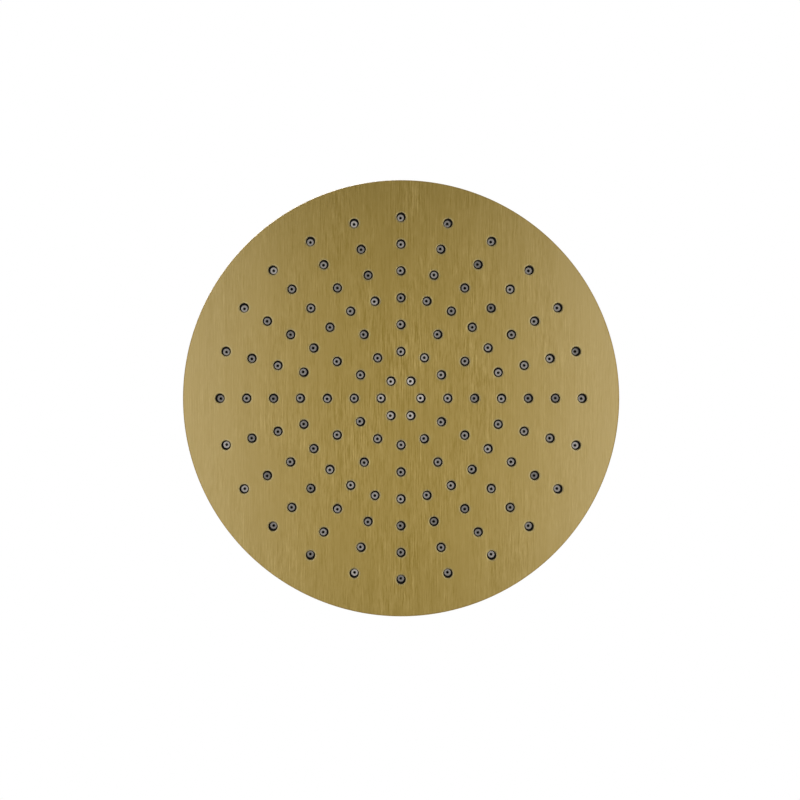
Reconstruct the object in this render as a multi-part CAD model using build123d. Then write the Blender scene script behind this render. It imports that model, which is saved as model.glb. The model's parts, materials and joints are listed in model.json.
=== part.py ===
from build123d import *
import os
from math import acos, asin, atan2, cos, degrees, radians, sin, tan

# Round rain shower head: a slim flat head of sheet metal that hangs from a swivel inlet.
# Millimetres, +Z up. The origin is the centre of the inlet's mouth, and the spray face looks down.

# Head, pressed from sheet
HEAD_DIAMETER = 250.0
RIM_HEIGHT = 9.0  # spray face to the top of the turned-up rim
FACE_SHEET = 1.5
FACE_EDGE_RADIUS = 0.6
RIM_LIP_RADIUS = 0.4
COVER_SHEET = 1.2
COVER_EDGE_GAP = 0.3  # all round, between cover and rim
COVER_INSET = 0.5  # cover below the top of the rim
DOME_RISE = 7.0
DOME_RUN = 36.0  # level distance over which the cover climbs to its hub
DOME_BLEND = 45.0

# Spray nozzles, in rings about the centre
NOZZLES_PER_RING = (6, 12, 12, 24, 24, 24, 24)
FIRST_RING_RADIUS = 11.4
OUTER_RING_TO_EDGE = 21.2
NOZZLE_HOLE_DIAMETER = 5.3
NOZZLE_TIP_DIAMETER = 3.8
NOZZLE_ROOT_GAP = 0.3  # all round, where the nozzle enters its hole
NOZZLE_RECESS = 0.3  # tip behind the spray face
NOZZLE_INLET_DIAMETER = 2.6
ORIFICE_DIAMETER = 1.2
MAT_THICKNESS = 1.2

# Mat clamp and chamber seal
MAT_LAND = 1.5  # outer nozzle holes to the clamp ring
CLAMP_WIDTH = 4.5
CLAMP_GAP = 0.3  # clamp ring to cover, taken up by the seal
SEAL_WIDTH = 2.0
SEAL_HEIGHT = 2.0
SEAL_SIDE_GAP = 0.1

# Standoffs and cover screws
SCREW_COUNT = 8
STANDOFF_DIAMETER = 6.5
SCREW_DIAMETER = 3.0
SCREW_HEAD_DIAMETER = 5.7
SCREW_HEAD_HEIGHT = 1.65
SCREW_SOCKET_WIDTH = 2.0
SCREW_SOCKET_DEPTH = 1.0
SCREW_HOLE_GAP = 0.2  # all round, in the cover
SCREW_THREAD_GAP = 0.05  # all round, in the standoff
SCREW_TIP_GAP = 1.0  # screw's end to the spray sheet

# Ball joint
BALL_DIAMETER = 23.0
STEM_DIAMETER = 13.0
WATERWAY_DIAMETER = 9.0
LINER_THICKNESS = 1.6
BALL_GAP = 0.06  # running clearance between the spheres
TILT_LIMIT = 12.0  # degrees to each side, about each of two axes
TILT_MARGIN = 2.0  # degrees kept clear past the tilt
SLIP_RING_ARC = 18.0  # degrees of the ball that the slip ring covers
SEAT_TOP_GAP = 0.8  # seat below the slip ring's lowest reach
COLLAR_LIP = 1.8
COLLAR_WALL = 2.6
COLLAR_ENGAGEMENT = 7.0
COLLAR_EDGE = 0.8
FLUTE_COUNT = 30
FLUTE_RADIUS = 1.1
FLUTE_DEPTH = 0.5
FLUTE_MARGIN = 1.6  # plain band at each end of the flutes
SPLIT_DEPTH = 0.4  # ball's centre to the neck's top face
STEM_GAP = 0.8  # inlet shoulder to collar at the full tilt

# Neck and how it is clamped to the cover
NECK_WALL = 2.2
THREAD_GAP = 0.1  # all round, between threads modelled as plain cylinders
COLLAR_TO_LOCKNUT = 0.5
LOCKNUT_WALL = 3.6
LOCKNUT_THICKNESS = 4.0
LOCKNUT_EDGE = 0.6
HUB_MARGIN = 2.0  # flat of the cover round the locknut
NECK_HOLE_GAP = 0.2
GASKET_THICKNESS = 1.0
FLANGE_WIDTH = 5.5
FLANGE_THICKNESS = 2.5

# Inlet, a half-inch parallel pipe socket
PIPE_BORE_DIAMETER = 21.0
PIPE_BORE_DEPTH = 12.5
INLET_WALL = 3.0  # pipe bore to the hexagon's flats
INLET_EDGE = 1.0
POCKET_WALL = 2.0
WASHER_DIAMETER = 19.4
WASHER_BORE = 13.0
WASHER_THICKNESS = 2.5
STRAINER_RIM = 1.0  # held in the washer
STRAINER_THICKNESS = 0.6
STRAINER_HOLE = 1.1
STRAINER_PITCH = 1.6
REGULATOR_DIAMETER = 15.0
REGULATOR_HEIGHT = 6.0
REGULATOR_FLOOR = 1.6
REGULATOR_WALL = 1.3
REGULATOR_PORT = 1.5
REGULATOR_PORT_COUNT = 8
REGULATOR_RIB = 0.6  # port to centre post
POCKET_GAP = 0.1  # all round, for the washer and the regulator
RING_GAP = 0.3  # all round, for the regulator's ring


def hex_corner(across_flats):
    """Radius of a hexagon's corners."""
    return across_flats / 2 / cos(radians(30))


# Ball joint, worked out from the ball's centre upwards (u is the height above it)
ball_radius = BALL_DIAMETER / 2
stem_radius = STEM_DIAMETER / 2
waterway_radius = WATERWAY_DIAMETER / 2
seat_sphere = ball_radius + BALL_GAP
cavity_radius = seat_sphere + LINER_THICKNESS + BALL_GAP
full_tilt = degrees(acos(cos(radians(TILT_LIMIT)) ** 2))
lip_angle = degrees(asin(stem_radius / cavity_radius)) + full_tilt + TILT_MARGIN
lip_u = cavity_radius * cos(radians(lip_angle))
collar_top_u = lip_u + COLLAR_LIP
slip_top_angle = lip_angle + TILT_LIMIT + TILT_MARGIN / 2
slip_bottom_angle = slip_top_angle + SLIP_RING_ARC
slip_reach = max(0.0, slip_bottom_angle + TILT_LIMIT - 90.0)
seat_top_u = -cavity_radius * sin(radians(slip_reach)) - SEAT_TOP_GAP
seat_edge_angle = degrees(asin(waterway_radius / ball_radius)) + full_tilt + TILT_MARGIN
seat_bottom_u = -seat_sphere * cos(radians(seat_edge_angle))
throat_radius = seat_sphere * sin(radians(seat_edge_angle))

# Threads and clamped stack below the ball
thread_radius = cavity_radius + NECK_WALL
thread_bore = thread_radius + THREAD_GAP
collar_radius = thread_bore + COLLAR_WALL
neck_top_u = -SPLIT_DEPTH
collar_bottom_u = neck_top_u - COLLAR_ENGAGEMENT
locknut_top_u = collar_bottom_u - COLLAR_TO_LOCKNUT
hub_top_u = locknut_top_u - LOCKNUT_THICKNESS
flange_top_u = hub_top_u - COVER_SHEET - GASKET_THICKNESS
flange_bottom_u = flange_top_u - FLANGE_THICKNESS
flange_radius = thread_radius + FLANGE_WIDTH
locknut_width = 2 * (thread_bore + LOCKNUT_WALL)

# Inlet, from its mouth downwards
pipe_bore_radius = PIPE_BORE_DIAMETER / 2
inlet_width = 2 * (pipe_bore_radius + INLET_WALL)
recess_radius = WASHER_DIAMETER / 2 + POCKET_GAP
pocket_radius = REGULATOR_DIAMETER / 2 + POCKET_GAP
shoulder_radius = pocket_radius + POCKET_WALL
washer_z = -PIPE_BORE_DEPTH - WASHER_THICKNESS
pocket_z = washer_z - REGULATOR_HEIGHT
shoulder_drop = shoulder_radius * sin(radians(full_tilt))  # of the shoulder's edge at the full tilt
shoulder_u = (collar_top_u + STEM_GAP + shoulder_drop) / cos(radians(full_tilt))
ball_z = pocket_z - shoulder_u

# Head, hung from the hub
cover_top_z = ball_z + hub_top_u - DOME_RISE
cover_under_z = cover_top_z - COVER_SHEET
face_z = cover_top_z + COVER_INSET - RIM_HEIGHT
sheet_top_z = face_z + FACE_SHEET
mat_top_z = sheet_top_z + MAT_THICKNESS
head_radius = HEAD_DIAMETER / 2
pan_radius = head_radius - FACE_SHEET
cover_radius = pan_radius - COVER_EDGE_GAP
outer_ring_radius = head_radius - OUTER_RING_TO_EDGE
clamp_inner = outer_ring_radius + NOZZLE_HOLE_DIAMETER / 2 + MAT_LAND
clamp_outer = clamp_inner + CLAMP_WIDTH
clamp_top_z = cover_under_z - CLAMP_GAP
seal_radius = (clamp_inner + clamp_outer) / 2
seal_floor_z = cover_under_z - SEAL_HEIGHT
screw_circle = (clamp_outer + pan_radius) / 2
screw_tip_z = sheet_top_z + SCREW_TIP_GAP
hub_flat = max(hex_corner(locknut_width), flange_radius) + HUB_MARGIN
dome_slope = atan2(DOME_RISE, DOME_RUN)
hub_radius = hub_flat + (DOME_BLEND + COVER_SHEET) * tan(dome_slope / 2)
dome_foot = hub_radius + DOME_RUN


def turned(*outline):
    """Solid turned about Z from a closed outline of edges, drawn as radius and height."""
    return revolve(Plane.XZ * make_face(Curve() + list(outline)), Axis.Z)


def turned_polygon(*points, rounds=()):
    """Solid turned from a polygon of (radius, height); rounds pairs a point's number with its radius."""
    section = make_face(Polyline(*points, close=True))
    for number, radius in rounds:
        corner = section.vertices().sort_by_distance((*points[number], 0))[0]
        section = fillet(corner, radius)
    return revolve(Plane.XZ * section, Axis.Z)


def ring(inner, outer, bottom, top):
    """Plain ring of rectangular section."""
    return turned_polygon((inner, bottom), (outer, bottom), (outer, top), (inner, top))


def on_sphere(radius, angle):
    """Radius and height of a point on the ball joint's sphere, its angle taken from straight up."""
    return radius * sin(radians(angle)), ball_z + radius * cos(radians(angle))


def sphere_arc(radius, start_angle, end_angle):
    """Arc of the ball joint's sphere between two angles taken from straight up."""
    middle = (start_angle + end_angle) / 2
    return ThreePointArc(*(on_sphere(radius, angle) for angle in (start_angle, middle, end_angle)))


def nozzle_places():
    """Places of all the nozzles, ring by ring."""
    pitch = (outer_ring_radius - FIRST_RING_RADIUS) / (len(NOZZLES_PER_RING) - 1)
    return [
        place
        for number, count in enumerate(NOZZLES_PER_RING)
        for place in PolarLocations(FIRST_RING_RADIUS + number * pitch, count)
    ]


def screw_places():
    """Places of the cover screws and their standoffs."""
    return list(PolarLocations(screw_circle, SCREW_COUNT, start_angle=180 / SCREW_COUNT))


def at_places(places, shape):
    """Copies of a shape at each place."""
    return [place * shape for place in places]


def rod(radius, bottom, top):
    """Cylinder on Z between two heights."""
    return Pos(0, 0, bottom) * Cylinder(radius, top - bottom, align=(Align.CENTER, Align.CENTER, Align.MIN))


def taper(bottom_radius, top_radius, bottom, top):
    """Cone frustum on Z between two heights."""
    frustum = Cone(bottom_radius, top_radius, top - bottom, align=(Align.CENTER, Align.CENTER, Align.MIN))
    return Pos(0, 0, bottom) * frustum


def hex_prism(across_flats, bottom, top):
    """Hexagonal bar on Z between two heights."""
    return Pos(0, 0, bottom) * extrude(RegularPolygon(across_flats / 2, 6, major_radius=False), top - bottom)


def face_plate():
    """Spray face: a shallow pan of sheet with a square-set rim and a hole for each nozzle."""
    rim_top = face_z + RIM_HEIGHT
    pan = turned_polygon(
        (0, face_z),
        (head_radius, face_z),
        (head_radius, rim_top),
        (pan_radius, rim_top),
        (pan_radius, sheet_top_z),
        (0, sheet_top_z),
        rounds=(
            (1, min(FACE_EDGE_RADIUS, FACE_SHEET / 2)),
            (2, min(RIM_LIP_RADIUS, FACE_SHEET / 3)),
            (4, min(FACE_EDGE_RADIUS, FACE_SHEET / 2)),
        ),
    )
    hole = rod(NOZZLE_HOLE_DIAMETER / 2, face_z - FACE_SHEET, sheet_top_z + FACE_SHEET)
    return pan - at_places(nozzle_places(), hole)


def face_standoffs():
    """Tapped standoffs welded to the back of the spray sheet."""
    post = ring(SCREW_DIAMETER / 2 + SCREW_THREAD_GAP, STANDOFF_DIAMETER / 2, sheet_top_z, cover_under_z)
    return Part() + at_places(screw_places(), post)


def nozzle_mat():
    """Silicone mat that lies on the spray sheet, with a hollow nozzle standing in each hole."""
    places = nozzle_places()
    tip_z = face_z + NOZZLE_RECESS
    root_radius = NOZZLE_HOLE_DIAMETER / 2 - NOZZLE_ROOT_GAP
    nozzle = taper(NOZZLE_TIP_DIAMETER / 2, root_radius, tip_z, sheet_top_z)
    bore = taper(ORIFICE_DIAMETER / 2, NOZZLE_INLET_DIAMETER / 2, tip_z, mat_top_z)
    web = rod(clamp_outer, sheet_top_z, mat_top_z)
    return web + at_places(places, nozzle) - at_places(places, bore)


def mat_clamp_ring():
    """Ring that holds the mat's edge down, grooved on top for the seal."""
    groove_half = SEAL_WIDTH / 2 + SEAL_SIDE_GAP
    groove = ring(seal_radius - groove_half, seal_radius + groove_half, seal_floor_z, clamp_top_z)
    return ring(clamp_inner, clamp_outer, mat_top_z, clamp_top_z) - groove


def chamber_seal():
    """Square seal between the clamp ring and the cover."""
    return ring(seal_radius - SEAL_WIDTH / 2, seal_radius + SEAL_WIDTH / 2, seal_floor_z, cover_under_z)


def back_cover():
    """Pressed cover that drops inside the rim and rises to a flat hub for the neck."""
    hub_z = cover_top_z + DOME_RISE
    neck_hole = thread_radius + NECK_HOLE_GAP
    outer_bend = DOME_BLEND + COVER_SHEET
    shift = COVER_SHEET * tan(dome_slope / 2)  # keeps the sheet's thickness even at the two bends
    blank = turned_polygon(
        (neck_hole, hub_z),
        (hub_radius, hub_z),
        (dome_foot, cover_top_z),
        (cover_radius, cover_top_z),
        (cover_radius, cover_under_z),
        (dome_foot - shift, cover_under_z),
        (hub_radius - shift, hub_z - COVER_SHEET),
        (neck_hole, hub_z - COVER_SHEET),
        rounds=((1, outer_bend), (2, DOME_BLEND), (5, outer_bend), (6, DOME_BLEND)),
    )
    hole_radius = SCREW_DIAMETER / 2 + SCREW_HOLE_GAP
    screw_hole = rod(hole_radius, cover_under_z - COVER_SHEET, cover_top_z + COVER_SHEET)
    return blank - at_places(screw_places(), screw_hole)


def cover_screws():
    """Button-head screws with a hexagon socket."""
    cap_radius = SCREW_HEAD_DIAMETER / 2
    crown_radius = (cap_radius**2 + SCREW_HEAD_HEIGHT**2) / (2 * SCREW_HEAD_HEIGHT)
    crown_z = cover_top_z + SCREW_HEAD_HEIGHT - crown_radius
    half_angle = asin(cap_radius / crown_radius) / 2
    crown = ThreePointArc(
        (cap_radius, cover_top_z),
        (crown_radius * sin(half_angle), crown_z + crown_radius * cos(half_angle)),
        (0, cover_top_z + SCREW_HEAD_HEIGHT),
    )
    shank = SCREW_DIAMETER / 2
    rest = Polyline(
        (0, cover_top_z + SCREW_HEAD_HEIGHT),
        (0, screw_tip_z),
        (shank, screw_tip_z),
        (shank, cover_top_z),
        (cap_radius, cover_top_z),
    )
    socket_floor = cover_top_z + SCREW_HEAD_HEIGHT - SCREW_SOCKET_DEPTH
    socket = hex_prism(SCREW_SOCKET_WIDTH, socket_floor, cover_top_z + 2 * SCREW_HEAD_HEIGHT)
    return Part() + at_places(screw_places(), turned(crown, rest) - socket)


def inlet_neck():
    """Flanged neck that carries the ball's seat and, on its outside, the collar and the locknut."""
    return turned_polygon(
        (throat_radius, ball_z + flange_bottom_u),
        (flange_radius, ball_z + flange_bottom_u),
        (flange_radius, ball_z + flange_top_u),
        (thread_radius, ball_z + flange_top_u),
        (thread_radius, ball_z + neck_top_u),
        (cavity_radius, ball_z + neck_top_u),
        (cavity_radius, ball_z + seat_bottom_u),
        (throat_radius, ball_z + seat_bottom_u),
    )


def neck_gasket():
    """Flat gasket between the neck's flange and the cover."""
    top = ball_z + flange_top_u + GASKET_THICKNESS
    return ring(thread_bore, flange_radius, ball_z + flange_top_u, top)


def neck_locknut():
    """Thin hexagon nut that clamps the cover to the neck's flange."""
    bottom, top = ball_z + hub_top_u, ball_z + locknut_top_u
    flat, corner = locknut_width / 2, hex_corner(locknut_width)
    blank = turned_polygon(
        (thread_bore, bottom),
        (corner, bottom),
        (corner, top - LOCKNUT_EDGE),
        (flat, top),
        (thread_bore, top),
    )
    return blank & hex_prism(locknut_width, bottom, top)


def ball_seat():
    """Rubber seat under the ball."""
    bottom, top = ball_z + seat_bottom_u, ball_z + seat_top_u
    outside = cavity_radius - BALL_GAP
    top_angle = degrees(acos(seat_top_u / seat_sphere))
    bottom_angle = 180 - seat_edge_angle
    inside = sphere_arc(seat_sphere, bottom_angle, top_angle)
    rest = Polyline(inside @ 1, (outside, top), (outside, bottom), inside @ 0)
    return turned(inside, rest)


def slip_ring():
    """Slippery ring over the ball, round inside and outside, on which the collar turns."""
    inside = sphere_arc(seat_sphere, slip_top_angle, slip_bottom_angle)
    outside = sphere_arc(cavity_radius - BALL_GAP, slip_top_angle, slip_bottom_angle)
    return turned(inside, outside, Line(inside @ 0, outside @ 0), Line(inside @ 1, outside @ 1))


def collar_nut():
    """Fluted collar that holds the ball in the neck."""
    top, bottom = ball_z + collar_top_u, ball_z + collar_bottom_u
    cavity = sphere_arc(cavity_radius, lip_angle, 90)
    mouth_radius = collar_top_u * tan(radians(lip_angle))
    rest = Polyline(
        cavity @ 1,
        (cavity_radius, ball_z + neck_top_u),
        (thread_bore, ball_z + neck_top_u),
        (thread_bore, bottom),
        (collar_radius - COLLAR_EDGE / 2, bottom),
        (collar_radius, bottom + COLLAR_EDGE / 2),
        (collar_radius, top - COLLAR_EDGE),
        (collar_radius - COLLAR_EDGE, top),
        (mouth_radius, top),
        cavity @ 0,
    )
    flute = rod(FLUTE_RADIUS, bottom + FLUTE_MARGIN, top - COLLAR_EDGE - FLUTE_MARGIN)
    flutes = at_places(PolarLocations(collar_radius - FLUTE_DEPTH + FLUTE_RADIUS, FLUTE_COUNT), flute)
    return turned(cavity, rest) - flutes


def swivel_ball():
    """Inlet fitting: pipe socket in a hexagon above, stem and ball below, with the waterway through it."""
    flat, corner = inlet_width / 2, hex_corner(inlet_width)
    stem_top_z = pocket_z - (shoulder_radius - stem_radius)
    stem_angle = degrees(asin(stem_radius / ball_radius))
    mouth_angle = 180 - degrees(asin(waterway_radius / ball_radius))
    ball = sphere_arc(ball_radius, stem_angle, mouth_angle)
    rest = Polyline(
        ball @ 0,
        (stem_radius, stem_top_z),
        (shoulder_radius, pocket_z),
        (flat, washer_z),
        (corner, washer_z + INLET_EDGE),
        (corner, -INLET_EDGE),
        (flat, 0),
        (pipe_bore_radius, 0),
        (pipe_bore_radius, -PIPE_BORE_DEPTH),
        (recess_radius, -PIPE_BORE_DEPTH),
        (recess_radius, washer_z),
        (pocket_radius, washer_z),
        (pocket_radius, pocket_z),
        (waterway_radius, pocket_z),
        ball @ 1,
    )
    outside_hexagon = rod(2 * corner, washer_z, 0) - hex_prism(inlet_width, washer_z, 0)
    return turned(ball, rest) - outside_hexagon


def inlet_washer():
    """Rubber washer that the pipe's end presses on, grooved inside for the strainer."""
    bore = WASHER_BORE / 2
    middle = washer_z + WASHER_THICKNESS / 2
    groove = ring(0, bore + STRAINER_RIM, middle - STRAINER_THICKNESS / 2, middle + STRAINER_THICKNESS / 2)
    return ring(bore, WASHER_DIAMETER / 2, washer_z, washer_z + WASHER_THICKNESS) - groove


def inlet_strainer():
    """Strainer disc with a grid of square holes inside the washer's bore."""
    bore = WASHER_BORE / 2
    bottom = washer_z + (WASHER_THICKNESS - STRAINER_THICKNESS) / 2
    reach = bore - STRAINER_HOLE
    count = 2 * int(reach / STRAINER_PITCH) + 1
    hole = Box(STRAINER_HOLE, STRAINER_HOLE, 4 * STRAINER_THICKNESS)
    places = [
        Pos(0, 0, bottom) * place
        for place in GridLocations(STRAINER_PITCH, STRAINER_PITCH, count, count)
        if place.position.length < reach
    ]
    return rod(bore + STRAINER_RIM, bottom, bottom + STRAINER_THICKNESS) - at_places(places, hole)


def regulator_post_radius():
    """Centre post that stands just inside the regulator's ports."""
    return regulator_port_circle() - REGULATOR_PORT / 2 - REGULATOR_RIB


def regulator_port_circle():
    """Radius of the regulator's ports, which open over the waterway."""
    return waterway_radius - REGULATOR_PORT


def flow_regulator():
    """Cup with a ring of ports in its floor and a post for the elastic ring."""
    outside = REGULATOR_DIAMETER / 2
    floor_z = pocket_z + REGULATOR_FLOOR
    cup = turned_polygon(
        (0, pocket_z),
        (outside, pocket_z),
        (outside, washer_z),
        (outside - REGULATOR_WALL, washer_z),
        (outside - REGULATOR_WALL, floor_z),
        (0, floor_z),
    )
    post = rod(regulator_post_radius(), floor_z, washer_z - REGULATOR_WALL)
    port = rod(REGULATOR_PORT / 2, pocket_z - REGULATOR_FLOOR, floor_z + REGULATOR_FLOOR)
    return cup + post - at_places(PolarLocations(regulator_port_circle(), REGULATOR_PORT_COUNT), port)


def regulator_ring():
    """Elastic ring round the post, which narrows the flow as the pressure rises."""
    inside, outside = regulator_post_radius(), REGULATOR_DIAMETER / 2 - REGULATOR_WALL
    section = (outside - inside) / 2 - RING_GAP
    lift = pocket_z + REGULATOR_FLOOR + section + POCKET_GAP
    return Pos(0, 0, lift) * Torus((inside + outside) / 2, section)


PIECES = (
    face_plate,
    face_standoffs,
    nozzle_mat,
    mat_clamp_ring,
    chamber_seal,
    back_cover,
    cover_screws,
    inlet_neck,
    neck_gasket,
    neck_locknut,
    ball_seat,
    slip_ring,
    collar_nut,
    swivel_ball,
    inlet_washer,
    inlet_strainer,
    flow_regulator,
    regulator_ring,
)

os.makedirs("parts", exist_ok=True)
for piece in PIECES:
    export_step(piece(), f"parts/{piece.__name__}.step")
print(f"ball centre {ball_z:.3f}, spray face {face_z:.3f}, full tilt {full_tilt:.2f} degrees")
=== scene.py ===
"""Looks of a round rain shower head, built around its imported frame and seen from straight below."""

import json
import logging
import math
import random
from collections.abc import Callable, Sequence
from dataclasses import dataclass, field
from enum import Enum, IntEnum

import bmesh
import bpy
from mathutils import Matrix, Vector
from mathutils.geometry import delaunay_2d_cdt


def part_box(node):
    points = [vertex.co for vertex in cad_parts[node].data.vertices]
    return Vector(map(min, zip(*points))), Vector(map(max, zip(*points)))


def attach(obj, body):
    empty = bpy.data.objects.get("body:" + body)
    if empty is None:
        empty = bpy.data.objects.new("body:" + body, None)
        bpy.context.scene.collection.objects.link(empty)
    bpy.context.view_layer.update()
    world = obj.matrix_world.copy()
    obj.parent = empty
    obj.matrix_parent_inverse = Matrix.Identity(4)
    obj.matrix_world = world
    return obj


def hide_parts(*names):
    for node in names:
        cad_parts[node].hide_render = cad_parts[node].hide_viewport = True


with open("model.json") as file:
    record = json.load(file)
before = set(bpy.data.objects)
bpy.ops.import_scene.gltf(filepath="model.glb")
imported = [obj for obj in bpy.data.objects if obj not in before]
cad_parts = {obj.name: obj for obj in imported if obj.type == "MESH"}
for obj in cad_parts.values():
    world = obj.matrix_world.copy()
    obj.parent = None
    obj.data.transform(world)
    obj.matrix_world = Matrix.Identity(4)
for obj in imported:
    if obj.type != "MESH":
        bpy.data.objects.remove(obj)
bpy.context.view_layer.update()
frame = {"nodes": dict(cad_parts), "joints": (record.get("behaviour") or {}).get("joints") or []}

# Pieces are drawn in millimetres and turned to metres when their mesh is made.
MM = 0.001
SHARP_DEGREES = 32.0
# Noise sampled this far apart looks unrelated.
FAR_APART = 1000.0
QUARTER_TURN = 0.25
# A mix node's sockets go by number, because those of its data types share names.
MIX_SHARE, MIX_A, MIX_B = 0, 2, 3
COLOUR_A, COLOUR_B, COLOUR_OUT = 6, 7, 2

Loop = list[int]
Pair = tuple[float, float]
Profile = list[Pair]
Outline = Callable[[float], Pair]
Material = bpy.types.Material
Piece = bpy.types.Object
Socket = bpy.types.NodeSocket
Tree = bpy.types.NodeTree

log = logging.getLogger("shower_head")


class Body(Enum):
    """Rigid bodies that pieces ride on."""

    INLET = "inlet"
    HEAD = "head"


class Grain(Enum):
    """Which way the abrasive or the tool went over a metal."""

    STRAIGHT = "straight"
    ROUND = "round"


class PanFinish(IntEnum):
    """Finishes of the pan's faces, in the order of its materials."""

    SHEET = 0
    RIM = 1
    HOLE_EDGE = 2


class MatFinish(IntEnum):
    """Finishes of the mat's faces, in the order of its materials."""

    TIP = 0
    WEB = 1


def node_box(node: str) -> tuple[Vector, Vector]:
    """Lowest and highest corner of a frame node.

    Args:
        node: the node's name.

    Returns:
        The two corners in millimetres.
    """
    low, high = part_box(node)
    return low / MM, high / MM


def arc(centre: Pair, radius: float, start: float, end: float, steps: int) -> Profile:
    """Points along an arc of a section, both ends included.

    Args:
        centre: the arc's centre, as radius and height.
        radius: the arc's own radius.
        start: angle of the first point in degrees, from straight outwards and turning upwards.
        end: angle of the last point.
        steps: number of chords.

    Returns:
        The points as radius and height.
    """
    points = []
    for step in range(steps + 1):
        angle = math.radians(start + (end - start) * step / steps)
        points.append((centre[0] + radius * math.cos(angle), centre[1] + radius * math.sin(angle)))
    return points


def chamfer_slope(width: float, edge: float) -> float:
    """Fall per millimetre outwards of a chamfer that takes an edge's height off a hexagon's corners."""
    flat = width / 2
    return edge / (flat / math.cos(math.pi / 6) - flat)


def hexagon_outline(
    width: float, corner_cut: float, height: float, slope: float = 0.0, inset: float = 0.0
) -> Outline:
    """Outline of a hexagon whose corners are turned down a little.

    Args:
        width: the hexagon's width across flats.
        corner_cut: how much the corners are turned down.
        height: height at the middle of each flat.
        slope: rise for each millimetre further out.
        inset: how far inside the flats the outline runs.

    Returns:
        The outline.
    """
    flat, third = width / 2, math.pi / 3

    def outline(angle: float) -> Pair:
        """Follows the hexagon.

        Args:
            angle: direction in radians.

        Returns:
            Radius and height in that direction.
        """
        from_flat = (angle + third / 2) % third - third / 2
        radius = min(flat / math.cos(from_flat), flat / math.cos(third / 2) - corner_cut)
        return radius - inset, height + (radius - flat) * slope

    return outline


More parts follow.
